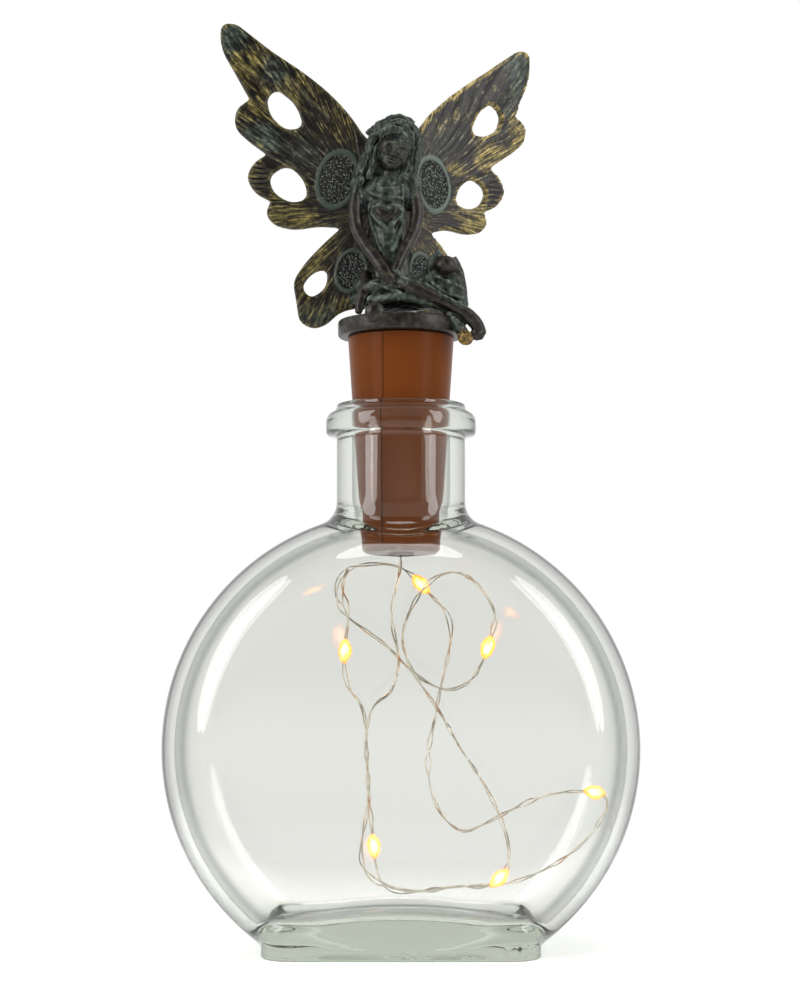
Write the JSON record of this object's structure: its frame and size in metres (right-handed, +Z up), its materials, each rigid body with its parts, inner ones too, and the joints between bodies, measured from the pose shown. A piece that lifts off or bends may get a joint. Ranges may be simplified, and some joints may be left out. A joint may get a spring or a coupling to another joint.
{
  "type": "bottle light with stopper",
  "caption": "Clear moon flask on a foot with a battery stopper, a light string inside it and a winged figure cast on a screw cap.",
  "frame": {"origin": "middle of the foot's underside, where the flask stands", "axes": "+Z up along the neck and the stopper, +X to the right of a viewer who faces the figure, +Y from the front to the back through the flat of the flask"},
  "size_m": [0.0992, 0.0473, 0.1957],
  "materials": {
    "clear_glass": "clear pressed glass, faintly green grey",
    "brown_plastic": "moulded, half gloss, with a mould line",
    "patina_metal": "cast metal with a dark brown and green patina, gold on the raised edges",
    "black_plastic": "moulded",
    "seal_rubber": "matt",
    "cell_steel": "nickel plated",
    "spring_steel": "nickel plated",
    "contact_brass": "bare",
    "wire_metal": "enamelled copper wire, silver and copper in the light",
    "board_laminate": "lacquered",
    "black_ceramic": "moulded",
    "clear_resin": "clear drop of resin",
    "lit_chip": "lit warm white"
  },
  "bodies": {
    "flask": {"bottle": "clear_glass", "string_wire": "wire_metal", "led_bead_1": "clear_resin", "led_bead_2": "clear_resin", "led_bead_3": "clear_resin", "led_bead_4": "clear_resin", "led_bead_5": "clear_resin", "led_bead_6": "clear_resin", "led_chip_1": "lit_chip", "led_chip_2": "lit_chip", "led_chip_3": "lit_chip", "led_chip_4": "lit_chip", "led_chip_5": "lit_chip", "led_chip_6": "lit_chip"},
    "stopper": {"stopper_shell": "brown_plastic", "wire_plug": "brown_plastic", "inner_wire": "wire_metal", "circuit_board": "board_laminate", "resistor": "black_ceramic", "battery_spring": "spring_steel", "contact_strip": "contact_brass", "battery_cell_1": "cell_steel", "battery_cell_2": "cell_steel", "battery_cell_3": "cell_steel", "lead_wire": "wire_metal"},
    "cap_carrier": {"cap_seal": "seal_rubber"},
    "topper": {"figure": "patina_metal", "wing_left": "patina_metal", "wing_right": "patina_metal", "screw_cap": "black_plastic", "cap_contact": "contact_brass"}
  },
  "joints": [
    {"name": "stopper_lift", "type": "slide", "parent": "flask", "child": "stopper", "axis": [0, 0, 1], "range_m": [0, 0.034], "deforming": ["lead_wire"]},
    {"name": "cap_rise", "type": "slide", "parent": "stopper", "child": "cap_carrier", "axis": [0, 0, 1], "range_m": [0, 0.0046]},
    {"name": "cap_turn", "type": "hinge", "parent": "cap_carrier", "child": "topper", "pos_m": [0, 0, 0.1212], "axis": [0, 0, 1], "range_deg": [0, 1080]}
  ],
  "couplings": [
    {"joint": "cap_rise", "follows": "cap_turn", "m_per_rad": 0.00023873}
  ]
}
